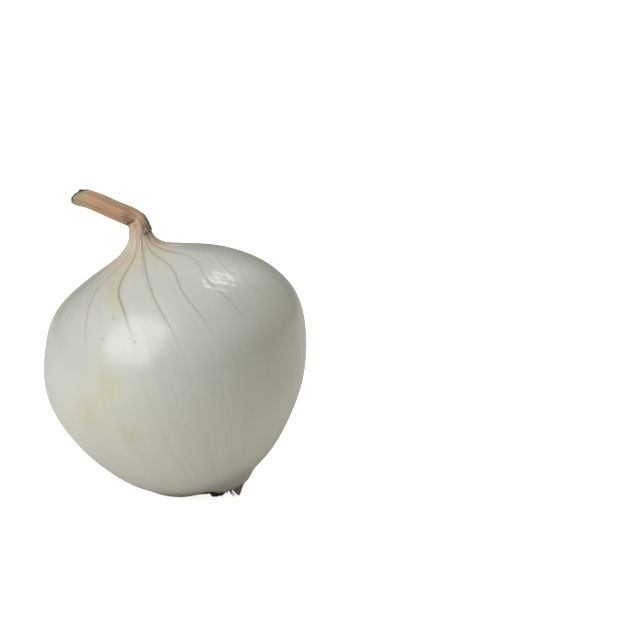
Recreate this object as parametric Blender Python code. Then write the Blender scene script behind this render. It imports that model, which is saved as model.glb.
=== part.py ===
"""A fresh white onion as picked: a leaning bulb with its dried stalk, neck sheath, root plate and rootlets.

Blender 4.5, metres, +Z up. The bulb rests on a small flat spot of its flank, at the world's origin,
with its middle of mass straight above that spot. Every piece is modelled along the bulb's own axis,
whose height 0 is the root plate, and hangs on one empty that leans the whole onion.
"""

from math import cos, hypot, pi, radians, sin, tau

import bmesh
import bpy
import numpy as np
from mathutils import Matrix, Vector

# How the onion leans: to the left and a little back.
LEAN_LEFT = radians(19)
LEAN_BACK = radians(3)

# Bulb: radii about its axis, heights from the root plate.
BELLY_RADIUS = 0.0430
BELLY_HEIGHT = 0.0480
NECK_HEIGHT = 0.0880
NECK_WALL = 0.00035
BASE_RIM = 0.0008
# Outline from base to belly and from belly to neck, as shares of height and of width.
LOWER_FLANK = (
    (0.0, 0.0),
    (0.07, 0.17),
    (0.15, 0.35),
    (0.26, 0.535),
    (0.38, 0.675),
    (0.53, 0.81),
    (0.70, 0.915),
    (0.87, 0.98),
    (1.0, 1.0),
)
SHOULDER = (
    (0.14, 0.985),
    (0.32, 0.915),
    (0.49, 0.80),
    (0.63, 0.64),
    (0.735, 0.43),
    (0.81, 0.237),
    (0.885, 0.083),
    (0.95, 0.021),
    (1.0, 0.0),
)
# How far the middle of each level lies off the axis, by share of the neck's height.
BOW = (
    (0.0, -0.0006),
    (0.08, -0.0025),
    (0.25, -0.0022),
    (0.50, -0.0013),
    (0.75, -0.0015),
    (0.88, -0.0024),
    (0.94, -0.0002),
    (1.0, 0.0016),
)
BULB_ROWS = 60
BULB_COLUMNS = 48

# The spot that the onion rests on.
SPOT_RADIUS = 0.0055
SPOT_BLEND = 0.0120
FLOOR_CLEARANCE = 0.00015

# Root plate, set in a recess of the base.
PLATE_RADIUS = 0.0049
PLATE_THICKNESS = 0.0012
PLATE_BULGE = 0.0004
GAP = 0.0003

# Rootlets: thin dry tubes that fan out from the root plate, some before the skin flap and most behind it.
ROOT_COUNT = 12
FRONT_ROOTS = 3
FRONT_FAN = (radians(-104), radians(-79))
BACK_FAN = (radians(-14), radians(112))
ROOT_THICKNESS = 0.00028
ROOT_RING = 0.0030
SHORTEST_ROOT = 0.0014
LONGEST_ROOT = 0.0038

# Dried stalk: a flattened tube whose foot sits in a socket of the neck.
STALK_WIDTH = 0.0062
STALK_DEPTH = 0.0044
STALK_SOCKET = 0.0030
STALK_PATH = (
    (0.0, -0.0027),
    (0.0, 0.0010),
    (0.0002, 0.0027),
    (-0.0035, 0.0079),
    (-0.0079, 0.0121),
    (-0.0125, 0.0162),
    (-0.0167, 0.0187),
)

# Dried leaf sheath: a brown half sleeve round the right of the stalk's foot.
SHEATH_THICKNESS = 0.0009
SHEATH_HEIGHT = 0.0050
SHEATH_SPREAD = radians(80)

# Dry skin flap that peels off the base in front of the root plate.
FLAP_OUTLINE = ((0.0013, -0.0006), (0.0028, -0.0026), (0.0044, -0.0012), (0.0052, -0.0004))
FLAP_AHEAD = 0.0033
FLAP_THICKNESS = 0.0004

UP = Vector((0, 0, 1))


def clear_scene():
    for old in list(bpy.data.objects):
        bpy.data.objects.remove(old)


def material(name, color, roughness):
    made = bpy.data.materials.new(name)
    made.use_nodes = True
    shader = made.node_tree.nodes["Principled BSDF"]
    shader.inputs["Base Color"].default_value = (*color, 1)
    shader.inputs["Roughness"].default_value = roughness
    shader.inputs["Metallic"].default_value = 0
    made.diffuse_color = (*color, 1)
    return made


def add_object(name, mesh_data, look, parent):
    mesh = bpy.data.meshes.new(name)
    mesh_data.to_mesh(mesh)
    mesh_data.free()
    mesh.materials.append(look)
    mesh.shade_smooth()
    mesh.set_sharp_from_angle(angle=radians(40))
    made = bpy.data.objects.new(name, mesh)
    bpy.context.scene.collection.objects.link(made)
    made.parent = parent
    return made


def smooth_curve(points, count):
    """This many points along the natural cubic spline through the given ones, evenly by length."""
    knots = np.array(points, float)
    legs = np.diff(knots, axis=0)
    lengths = np.linalg.norm(legs, axis=1)
    slopes = legs / lengths[:, None]
    system = np.eye(len(knots))
    change = np.zeros_like(knots)
    for i in range(1, len(knots) - 1):
        before, after = lengths[i - 1], lengths[i]
        system[i, i - 1 : i + 2] = before, 2 * (before + after), after
        change[i] = 6 * (slopes[i] - slopes[i - 1])
    bend = np.linalg.solve(system, change)
    ends = np.concatenate([[0], np.cumsum(lengths)])
    where = np.linspace(0, ends[-1], count)
    leg = np.clip(np.searchsorted(ends, where, side="right") - 1, 0, len(legs) - 1)
    size = lengths[leg][:, None]
    past = (where - ends[leg])[:, None]
    left = size - past
    curve = (bend[leg] * left**3 + bend[leg + 1] * past**3) / (6 * size)
    curve += (knots[leg] / size - bend[leg] * size / 6) * left
    curve += (knots[leg + 1] / size - bend[leg + 1] * size / 6) * past
    return curve


def recess_radius():
    """The recess in the base that the root plate sits in."""
    return PLATE_RADIUS + GAP


def socket_radius():
    """The socket in the neck that the stalk's foot sits in."""
    return STALK_WIDTH / 2 + GAP


def outline():
    """(radius, height) of the bulb's skin from the base's rim up to the neck's rim."""
    base = recess_radius() + BASE_RIM
    neck = socket_radius() + NECK_WALL
    lower = [
        (base + wide * (BELLY_RADIUS - base), high * BELLY_HEIGHT) for high, wide in LOWER_FLANK
    ]
    upper = [
        (neck + wide * (BELLY_RADIUS - neck), BELLY_HEIGHT + high * (NECK_HEIGHT - BELLY_HEIGHT))
        for high, wide in SHOULDER
    ]
    return smooth_curve(lower + upper, BULB_ROWS)


def bow_at(height):
    """How far the bulb's middle lies off its axis at this height."""
    levels = smooth_curve([(share * NECK_HEIGHT, offset) for share, offset in BOW], 60)
    return float(np.interp(height, levels[:, 0], levels[:, 1]))


def in_recess(point):
    return point.z < BELLY_HEIGHT and hypot(point.x, point.y) < recess_radius() + BASE_RIM / 2


def bow_level(point):
    """The height whose bow this point of the bulb follows: the recess and the socket each stay straight."""
    if in_recess(point):
        return 0
    if point.z > BELLY_HEIGHT and hypot(point.x, point.y) < socket_radius() + NECK_WALL / 2:
        return NECK_HEIGHT
    return point.z


def balance_point():
    """The bulb's middle of mass, on its own axis's frame."""
    radius, height = outline().T
    slices = (radius[1:] + radius[:-1]) ** 2 / 4 * np.diff(height)
    middles = (height[1:] + height[:-1]) / 2
    bows = np.array([bow_at(level) for level in middles])
    return Vector(((slices @ bows) / slices.sum(), 0, (slices @ middles) / slices.sum()))


def lean_empty():
    """The empty at the root plate's middle that leans the onion and sets its balance point over the origin."""
    turn = Matrix.Rotation(-LEAN_LEFT, 4, "Y") @ Matrix.Rotation(-LEAN_BACK, 4, "X")
    over = turn @ balance_point()
    rise = turn[2]
    plate_low = bow_at(0) * rise[0] + PLATE_BULGE * rise[2] - PLATE_RADIUS * hypot(rise[0], rise[1])
    made = bpy.data.objects.new("lean", None)
    bpy.context.scene.collection.objects.link(made)
    made.location = (-over.x, -over.y, FLOOR_CLEARANCE - plate_low)
    made.rotation_euler = turn.to_euler()
    bpy.context.view_layer.update()
    return made


def off_floor(height, clearance=FLOOR_CLEARANCE):
    """The height raised smoothly, so that it never comes under the clearance."""
    softness = 0.0003
    above = (height - clearance) / softness
    if above > 20:
        return height
    return clearance + softness * float(np.logaddexp(0, above))


def settle(point, recessed):
    """A point of the bulb, in world space, kept off the floor or, near the resting spot, pressed flat onto it.

    The recess isn't pressed, so that its roof stays clear of the root plate.
    """
    if point.z > BELLY_HEIGHT / 2:
        return point
    if recessed:
        return Vector((point.x, point.y, off_floor(point.z)))
    reach = hypot(point.x, point.y)
    share = min(max((SPOT_BLEND - reach) / (SPOT_BLEND - SPOT_RADIUS), 0), 1)
    pressed = share * share * (3 - 2 * share)
    return Vector((point.x, point.y, off_floor(point.z) * (1 - pressed)))


def turned(profile, columns):
    """A closed solid turned about Z from a profile of (radius, height), which starts and ends on the axis."""
    work = bmesh.new()
    corners = [work.verts.new((radius, 0, height)) for radius, height in profile]
    edges = [work.edges.new(pair) for pair in zip(corners, corners[1:])]
    bmesh.ops.spin(
        work,
        geom=corners + edges,
        cent=(0, 0, 0),
        axis=(0, 0, 1),
        angle=tau,
        steps=columns,
        use_merge=True,
    )
    bmesh.ops.remove_doubles(work, verts=work.verts, dist=1e-6)
    bmesh.ops.recalc_face_normals(work, faces=work.faces)
    return work


def swept(sections):
    """A closed solid whose cross-section passes through each of these rings of points, with flat ends."""
    work = bmesh.new()
    ring = bmesh.ops.create_circle(work, segments=len(sections[0]), radius=1)["verts"]
    edges = work.edges[:]
    for vert, place in zip(ring, sections[0]):
        vert.co = place
    for section in sections[1:]:
        made = bmesh.ops.extrude_edge_only(work, edges=edges)["geom"]
        moved = {vert for vert in made if isinstance(vert, bmesh.types.BMVert)}
        edges = [
            edge
            for edge in made
            if isinstance(edge, bmesh.types.BMEdge) and moved.issuperset(edge.verts)
        ]
        at = {tuple(vert.co): place for vert, place in zip(ring, section)}
        ring = [next(v for v in moved if tuple(v.co) == key) for key in at]
        for vert, place in zip(ring, section):
            vert.co = place
    bmesh.ops.holes_fill(work, edges=work.edges)
    bmesh.ops.recalc_face_normals(work, faces=work.faces)
    return work


def build_bulb(lean):
    """The bulb, with a recess in its base for the root plate and a socket in its neck for the stalk."""
    recess, recess_depth = recess_radius(), PLATE_THICKNESS + GAP
    socket, socket_floor = socket_radius(), NECK_HEIGHT - STALK_SOCKET
    profile = [(0, recess_depth), (recess, recess_depth), (recess, 0), *outline()]
    profile += [(socket, NECK_HEIGHT), (socket, socket_floor), (0, socket_floor)]
    work = turned(profile, BULB_COLUMNS)
    place = lean.matrix_world
    back = place.inverted()
    for vert in work.verts:
        bowed = vert.co + Vector((bow_at(bow_level(vert.co)), 0, 0))
        vert.co = back @ settle(place @ bowed, in_recess(vert.co))
    look = material("white_skin", (0.66, 0.67, 0.60), 0.32)
    add_object("bulb", work, look, lean)


def build_root_plate(lean):
    """The dark corky disc at the base, bulged a little and set in its recess."""
    profile = [
        (0, 0),
        (PLATE_RADIUS * 0.6, PLATE_BULGE * 0.25),
        (PLATE_RADIUS, PLATE_BULGE),
        (PLATE_RADIUS, PLATE_THICKNESS),
        (0, PLATE_THICKNESS),
    ]
    work = turned(profile, 32)
    for vert in work.verts:
        vert.co.x += bow_at(0)
    add_object("root_plate", work, material("root_plate", (0.085, 0.060, 0.042), 0.85), lean)


def root_angle(index):
    """Which way a rootlet leaves the root plate."""
    if index < FRONT_ROOTS:
        first, last = FRONT_FAN
        share = index / (FRONT_ROOTS - 1)
    else:
        first, last = BACK_FAN
        share = (index - FRONT_ROOTS) / (ROOT_COUNT - FRONT_ROOTS - 1)
    return first + share * (last - first) + 0.05 * sin(3.1 * index)


def root_sections(index, lean):
    """Rings along one rootlet, which leaves the root plate, turns outwards and tapers."""
    angle = root_angle(index)
    outward = Vector((cos(angle), sin(angle), 0))
    share = 0.5 + 0.5 * sin(2.4 * index + 1)
    length = SHORTEST_ROOT + share * (LONGEST_ROOT - SHORTEST_ROOT)
    start = Vector((bow_at(0), 0, -GAP - ROOT_THICKNESS / 2)) + outward * ROOT_RING * (0.5 + 0.4 * share)
    place = lean.matrix_world
    middles = []
    for step in range(6):
        along = step / 5
        drop = -0.55 * length * along * (1 - 0.45 * along)
        middle = place @ (start + outward * 0.8 * length * along + UP * drop)
        middle.z = off_floor(middle.z, FLOOR_CLEARANCE + ROOT_THICKNESS)
        middles.append(place.inverted() @ middle)
    return tube_sections(middles, [ROOT_THICKNESS / 2 * (1 - 0.11 * step) for step in range(6)], 8)


def tube_sections(middles, radii, sides):
    """Round rings set square to a path."""
    sections = []
    for i, (middle, radius) in enumerate(zip(middles, radii)):
        ahead = middles[min(i + 1, len(middles) - 1)] - middles[max(i - 1, 0)]
        turn = ahead.to_track_quat("Z", "Y").to_matrix()
        ring = [
            middle + turn @ Vector((radius * cos(tau * k / sides), radius * sin(tau * k / sides), 0))
            for k in range(sides)
        ]
        sections.append(ring)
    return sections


def build_roots(lean):
    look = material("rootlet", (0.27, 0.19, 0.11), 0.8)
    for index in range(ROOT_COUNT):
        add_object(f"root_{index + 1:02d}", swept(root_sections(index, lean)), look, lean)


def stalk_path(count):
    """(middle, ahead, aside) along the stalk: aside points to the outer side of its bend."""
    foot = Vector((bow_at(NECK_HEIGHT), 0, NECK_HEIGHT))
    line = [foot + Vector((x, 0, z)) for x, z in smooth_curve(STALK_PATH, count)]
    stations = []
    for i, middle in enumerate(line):
        ahead = (line[min(i + 1, count - 1)] - line[max(i - 1, 0)]).normalized()
        stations.append((middle, ahead, Vector((ahead.z, 0, -ahead.x))))
    return stations


def build_stalk(lean):
    """The dried stalk: round at its foot, flattened along its length, with a blunt rounded tip."""
    count, sides = 26, 24
    sections = []
    for i, (middle, _, aside) in enumerate(stalk_path(count)):
        along = i / (count - 1)
        flat = min(along / 0.35, 1)
        depth = STALK_WIDTH + (STALK_DEPTH - STALK_WIDTH) * flat
        tip = min((1 - along) / 0.12, 1)
        size = 0.35 + 0.65 * sin(tip * pi / 2)
        sections.append(
            [
                middle
                + aside * (STALK_WIDTH / 2 * size * cos(tau * k / sides))
                + Vector((0, depth / 2 * size * sin(tau * k / sides), 0))
                for k in range(sides)
            ]
        )
    add_object("dry_stalk", swept(sections), material("dry_stalk", (0.45, 0.28, 0.15), 0.7), lean)


def build_sheath(lean):
    """The brown papery half sleeve, from just above the neck's rim up the outer side of the bend."""
    inner = socket_radius()
    rows, sides = 9, 12
    stations = [
        station
        for station in stalk_path(60)
        if NECK_HEIGHT + GAP + 0.0002 < station[0].z < NECK_HEIGHT + SHEATH_HEIGHT
    ]
    chosen = [stations[round(i * (len(stations) - 1) / (rows - 1))] for i in range(rows)]
    sections = []
    for i, (middle, _, aside) in enumerate(chosen):
        up = i / (rows - 1)
        spread = SHEATH_SPREAD * (1 - 0.6 * up * up)
        thick = SHEATH_THICKNESS * (1 - 0.45 * up)
        angles = [spread * (2 * k / (sides - 1) - 1) for k in range(sides)]
        ring = []
        for radius, turns in ((inner + thick, angles), (inner, angles[::-1])):
            for angle in turns:
                ring.append(middle + aside * radius * cos(angle) + Vector((0, radius * sin(angle), 0)))
        sections.append(ring)
    add_object("neck_sheath", swept(sections), material("neck_sheath", (0.17, 0.09, 0.05), 0.75), lean)


def build_flap(lean):
    """The thin dry flake of skin that hangs off the base, in front of the root plate."""
    place = lean.matrix_world
    sections = []
    for side in (-0.5, 0.5):
        ring = []
        for x, z in FLAP_OUTLINE:
            point = place @ Vector((x, side * FLAP_THICKNESS - FLAP_AHEAD, z))
            point.z = off_floor(point.z)
            ring.append(place.inverted() @ point)
        sections.append(ring)
    add_object("skin_flap", swept(sections), material("skin_flap", (0.30, 0.25, 0.18), 0.7), lean)


def main():
    clear_scene()
    lean = lean_empty()
    build_bulb(lean)
    build_root_plate(lean)
    build_roots(lean)
    build_stalk(lean)
    build_sheath(lean)
    build_flap(lean)


main()
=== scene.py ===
"""The looks of a fresh white onion.

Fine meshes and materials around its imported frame, with a floor, lights and a camera.
"""

from math import cos, pi, radians, sin, tau

import bmesh
import bpy
import numpy as np
from mathutils import Matrix, Vector


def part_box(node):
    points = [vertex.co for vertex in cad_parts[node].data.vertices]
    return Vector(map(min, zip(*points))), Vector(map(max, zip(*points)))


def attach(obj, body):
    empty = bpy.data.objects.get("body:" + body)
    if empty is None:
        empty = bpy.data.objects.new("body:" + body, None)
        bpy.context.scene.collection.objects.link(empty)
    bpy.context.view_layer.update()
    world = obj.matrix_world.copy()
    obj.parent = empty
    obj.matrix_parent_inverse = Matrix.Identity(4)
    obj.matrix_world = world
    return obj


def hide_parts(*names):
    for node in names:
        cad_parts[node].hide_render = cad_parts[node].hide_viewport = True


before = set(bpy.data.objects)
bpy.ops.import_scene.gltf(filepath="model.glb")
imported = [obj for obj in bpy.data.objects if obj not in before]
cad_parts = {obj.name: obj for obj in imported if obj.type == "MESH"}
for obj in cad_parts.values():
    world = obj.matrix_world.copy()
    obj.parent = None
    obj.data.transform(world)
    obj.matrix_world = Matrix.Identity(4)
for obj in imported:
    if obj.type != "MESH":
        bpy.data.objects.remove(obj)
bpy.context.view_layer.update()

MM = 0.001

# The onion's lean and its place, which follow the frame's bulb and root plate.
LEAN_LEFT = radians(19)
LEAN_BACK = radians(3)
TURN = Matrix.Rotation(-LEAN_LEFT, 4, "Y") @ Matrix.Rotation(-LEAN_BACK, 4, "X")
BULB_LOW, BULB_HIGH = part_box("bulb")
BELLY_RADIUS = (BULB_HIGH.y - BULB_LOW.y) / 2
BELLY_HEIGHT = 48.0 * MM
NECK_HEIGHT = 88.0 * MM
NECK_RADIUS = 3.75 * MM
BASE_RADIUS = 6.0 * MM
PLATE_RADIUS = 4.9 * MM
PLATE_THICKNESS = 1.2 * MM
PLATE_BULGE = 0.4 * MM
SPOT_RADIUS = 5.5 * MM
SPOT_BLEND = 14.0 * MM
FLOOR_CLEARANCE = 0.15 * MM

# The plain outline: shares of the way up and of the way out, below the belly and above it.
LOWER_FLANK = (
    (0.0, 0.0),
    (0.07, 0.17),
    (0.15, 0.35),
    (0.26, 0.535),
    (0.38, 0.675),
    (0.53, 0.81),
    (0.70, 0.915),
    (0.87, 0.98),
    (1.0, 1.0),
)
SHOULDER = (
    (0.14, 0.985),
    (0.32, 0.915),
    (0.49, 0.80),
    (0.63, 0.64),
    (0.735, 0.43),
    (0.81, 0.237),
    (0.885, 0.083),
    (0.95, 0.021),
    (1.0, 0.0),
)
# How far the middle line bows to the right, in mm, at shares of the way up.
BOW = (
    (0.0, -0.6),
    (0.08, -2.5),
    (0.25, -2.2),
    (0.50, -1.3),
    (0.75, -1.5),
    (0.88, -2.4),
    (0.94, -0.2),
    (1.0, 1.6),
)

# Bulb mesh: its columns run from root to neck, and each vein lies on one of them.
COLUMNS_PER_VEIN = 18
BULB_ROWS = 250
# Front veins: angle about the axis in degrees, half width in mm, strength, lowest height in mm, and
# the height in mm where it is brownest (0 for none).
FRONT_VEINS = (
    (-124.0, 0.38, 0.60, 67.0, 75.0),
    (-98.0, 0.50, 0.90, 66.0, 76.0),
    (-79.5, 0.32, 0.85, 62.0, 0.0),
    (-64.0, 0.32, 0.72, 61.0, 77.5),
    (-47.0, 0.30, 0.66, 58.0, 0.0),
    (-28.5, 0.34, 0.26, 60.0, 0.0),
    (-12.0, 0.34, 0.24, 64.0, 0.0),
)
BROWN_SPREAD = 3.4 * MM
BACK_VEINS = 13
# How far veins are bent aside at the shoulder: (angle, bend) in degrees.
SHOULDER_BEND = (
    (-180, -3),
    (-124, -10),
    (-98, -10),
    (-79.5, 0),
    (-64, 10),
    (-47, 21),
    (-28.5, 30),
    (-12, 28),
    (30, 12),
    (90, 0),
    (180, -3),
)

# Crinkled patch of skin: its angle and height, each with its spread, and the depth in mm there and
# elsewhere.
CRINKLE_ANGLE = (radians(-41), radians(15))
CRINKLE_HEIGHT = (70 * MM, 7 * MM)
CRINKLE_DEPTH = 0.095
PLAIN_DEPTH = 0.002
# Heights between which the neck's folds rise, and between which they join in pairs.
FOLDS_RISE = (76 * MM, 86 * MM)
FOLDS_PAIR = (83.5 * MM, 87.5 * MM)
FOLD_DEPTH = 0.24 * MM
# The skin's torn edge above the root plate, and how far the base sags to the left.
BARE_HEIGHT = 1.7 * MM
BARE_INSET = 0.25 * MM
BASE_SAG = 0.50 * MM

STALK_WIDTH = 6.2 * MM
STALK_DEPTH = 4.4 * MM
# The stalk's middle line: (right, up) in mm from its foot.
STALK_PATH = (
    (0.0, -2.7),
    (0.0, 1.0),
    (0.2, 2.7),
    (-3.5, 7.9),
    (-7.9, 12.1),
    (-12.5, 16.2),
    (-16.7, 18.7),
)


# ---------------------------------------------------------------- shape helpers


def smooth_curve(points, count):
    """This many points along the natural cubic spline through the given ones, evenly by length."""
    knots = np.array(points, float)
    legs = np.diff(knots, axis=0)
    lengths = np.linalg.norm(legs, axis=1)
    slopes = legs / lengths[:, None]
    system = np.eye(len(knots))
    change = np.zeros_like(knots)
    for i in range(1, len(knots) - 1):
        before, after = lengths[i - 1], lengths[i]
        system[i, i - 1 : i + 2] = before, 2 * (before + after), after
        change[i] = 6 * (slopes[i] - slopes[i - 1])
    bend = np.linalg.solve(system, change)
    ends = np.concatenate([[0], np.cumsum(lengths)])
    where = np.linspace(0, ends[-1], count)
    leg = np.clip(np.searchsorted(ends, where, side="right") - 1, 0, len(legs) - 1)
    size = lengths[leg][:, None]
    past = (where - ends[leg])[:, None]
    left = size - past
    curve = (bend[leg] * left**3 + bend[leg + 1] * past**3) / (6 * size)
    curve += (knots[leg] / size - bend[leg] * size / 6) * left
    curve += (knots[leg + 1] / size - bend[leg + 1] * size / 6) * past
    return curve


def ease(value, low, high):
    """0 below low, 1 above high, and a smooth step between them."""
    share = np.clip((value - low) / (high - low), 0, 1)
    return share * share * (3 - 2 * share)


def bell(value, middle, width):
    return np.exp(-(((value - middle) / width) ** 2))


RIPPLE_WAVES = 9


def ripple(points, scale, seed):
    """A smooth random value of about -1 to 1 at each point: a few plane waves in seeded directions."""
    dice = np.random.default_rng(seed)
    total = np.zeros(len(points))
    for _ in range(RIPPLE_WAVES):
        way = dice.normal(size=3)
        way *= dice.uniform(0.6, 1.4) / np.linalg.norm(way)
        total += np.sin(points @ way * scale + dice.uniform(0, tau))
    return total / RIPPLE_WAVES**0.5 / 1.2


def grain_at(angle, height):
    """Points on a unit tube, which the materials stretch their patterns along."""
    return np.stack([np.cos(angle), np.sin(angle), height], 1)


def bow_at(height):
    levels = smooth_curve([(share * NECK_HEIGHT, offset * MM) for share, offset in BOW], 200)
    return np.interp(height, levels[:, 0], levels[:, 1])


def cad_outline():
    lower = [
        (BASE_RADIUS + wide * (BELLY_RADIUS - BASE_RADIUS), high * BELLY_HEIGHT)
        for high, wide in LOWER_FLANK
    ]
    upper = [
        (
            NECK_RADIUS + wide * (BELLY_RADIUS - NECK_RADIUS),
            BELLY_HEIGHT + high * (NECK_HEIGHT - BELLY_HEIGHT),
        )
        for high, wide in SHOULDER
    ]
    return lower + upper


def root_middle():
    """The root plate's middle, which puts the bulb's balance point over the origin."""
    radius, height = smooth_curve(cad_outline(), 60).T
    slices = (radius[1:] + radius[:-1]) ** 2 / 4 * np.diff(height)
    middles = (height[1:] + height[:-1]) / 2
    weight = slices / slices.sum()
    over = TURN @ Vector((weight @ bow_at(middles), 0, weight @ middles))
    rise = TURN[2]
    plate_low = bow_at(0) * rise[0] + PLATE_BULGE * rise[2] - PLATE_RADIUS * np.hypot(rise[0], rise[1])
    return Vector((-over.x, -over.y, FLOOR_CLEARANCE - plate_low))


PLACE = Matrix.Translation(root_middle()) @ TURN


def leaned(points):
    """Points of the bulb's own frame, as an array, in the object's frame."""
    matrix = np.array(PLACE)
    return points @ matrix[:3, :3].T + matrix[:3, 3]


def off_floor(height, clearance, softness):
    """Heights raised smoothly, so that none is under the clearance."""
    return clearance + softness * np.logaddexp(0, np.clip((height - clearance) / softness, -50, 600))


def settle(points):
    """The bulb's points with the resting spot pressed flat and the rest kept off the floor."""
    reach = np.hypot(points[:, 0], points[:, 1])
    pressed = ease(SPOT_BLEND - reach, 0, SPOT_BLEND - SPOT_RADIUS)
    low = off_floor(points[:, 2], 0.06 * MM, 0.12 * MM) * (1 - pressed)
    points[:, 2] = np.where(points[:, 2] < BELLY_HEIGHT / 2, low, points[:, 2])
    return points


def tube(name, columns, rows, shape):
    """A closed tube whose points are shape(column, row), with its ends filled.

    shape gives an array of points and a dict of values for each point, which become attributes.
    """
    work = bmesh.new()
    bmesh.ops.create_grid(work, x_segments=columns, y_segments=rows - 1, size=1)
    for vert in work.verts:
        turn = pi * vert.co.x
        vert.co = (cos(turn), sin(turn), (vert.co.y + 1) / 2 * (rows - 1))
    seam = [vert for vert in work.verts if vert.is_boundary]
    bmesh.ops.remove_doubles(work, verts=seam, dist=1e-4)
    bmesh.ops.holes_fill(work, edges=work.edges)
    at = np.array([vert.co for vert in work.verts])
    column = np.rint(np.arctan2(at[:, 1], at[:, 0]) / tau * columns).astype(int) % columns
    points, values = shape(column, np.rint(at[:, 2]).astype(int))
    for vert, point in zip(work.verts, points):
        vert.co = point
    bmesh.ops.recalc_face_normals(work, faces=work.faces)
    return piece(name, work, values)


def piece(name, work, values=None):
    """A smooth object from a bmesh, with the values of its points as attributes."""
    mesh = bpy.data.meshes.new(name)
    work.to_mesh(mesh)
    work.free()
    for key, value in (values or {}).items():
        value = np.ascontiguousarray(value, np.float32)
        kind, field = ("FLOAT_VECTOR", "vector") if value.ndim == 2 else ("FLOAT", "value")
        mesh.attributes.new(key, kind, "POINT").data.foreach_set(field, value.ravel())
    mesh.shade_smooth()
    made = bpy.data.objects.new(name, mesh)
    bpy.context.scene.collection.objects.link(made)
    return made


def finish_piece(made, look, slot, *nodes):
    """Paint a piece, put it on the onion's one body and hide the frame's nodes it stands for."""
    made.data.materials.append(look)
    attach(made, "root")
    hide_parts(*nodes)


# ---------------------------------------------------------------- bulb


def vein_table():
    """Every vein as a row of angle, half width, strength, lowest and brownest height, front ones first."""
    rows = [(radians(a), wide, ink, low * MM, brown * MM) for a, wide, ink, low, brown in FRONT_VEINS]
    for i in range(BACK_VEINS):
        angle = radians(6 + 17.5 * i + 2 * sin(5 * i))
        wide = 0.36 + 0.12 * sin(2.1 * i)
        ink = (0.42 + 0.25 * sin(3.7 * i + 1)) * (0.25 if i in (0, 1, 12) else 1)
        brown = 76 if i % 4 == 1 else 0
        rows.append((angle, wide, ink, (62 + 4 * sin(1.7 * i)) * MM, brown * MM))
    return np.array(rows)


def skin_profile():
    """(radius, height) of the skin, from inside the base round its rim and up over the stalk's foot."""
    rim = [(4.9 * MM, 1.3 * MM), (5.0 * MM, 0.6 * MM), (5.4 * MM, 0.1 * MM)]
    collar = [(3.55 * MM, 88.9 * MM), (3.2 * MM, 89.8 * MM), (2.6 * MM, 90.5 * MM)]
    return smooth_curve(rim + cad_outline() + collar, BULB_ROWS)


def skin_relief(angle, height, radius, phase, strength, gap):
    """How far the skin stands out of the plain outline, in metres: mostly inwards."""
    grain = grain_at(angle, height / NECK_HEIGHT)
    around = grain * (1, 1, 0)
    surface = np.stack([angle * radius, height, 0 * height], 1) / MM
    uneven = 0.6 + 0.4 * ripple(around, 3.1, 8)
    away_from_base = ease(height, 6 * MM, 20 * MM)
    relief = -0.16 * MM * (1 + ripple(grain * (1, 1, 1.3), 2.3, 11))
    relief -= 0.05 * MM * ripple(grain * (1, 1, 1.6), 7.0, 12)
    relief -= 0.025 * MM * (0.5 + 0.5 * np.cos(phase)) * uneven * away_from_base
    relief += 0.008 * MM * np.sin(2 * phase + 3 * ripple(grain, 2.0, 14)) * uneven * away_from_base
    relief -= 0.05 * MM * strength * bell(gap, 0, 0.45 * MM)

    patch = bell(angle, *CRINKLE_ANGLE) * bell(height, *CRINKLE_HEIGHT)
    relief += (CRINKLE_DEPTH * patch + PLAIN_DEPTH) * MM * ripple(surface, 2.9, 15)

    # Neck: ridges between the veins, which join in pairs towards the stalk.
    folds = ease(height, *FOLDS_RISE)
    pairs = ease(height, *FOLDS_PAIR)
    ridge = -np.cos(phase) * (1 - pairs) - np.cos(phase / 2 + 0.6) * pairs
    plump = 1 + 0.5 * bell(angle, radians(-35), radians(40))
    relief += FOLD_DEPTH * folds * (ridge - 0.5) * uneven * plump
    relief += 0.10 * MM * folds * np.sin(2 * phase + 2.5 * ripple(around, 2.0, 3))
    return relief, folds * ridge, patch


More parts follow.
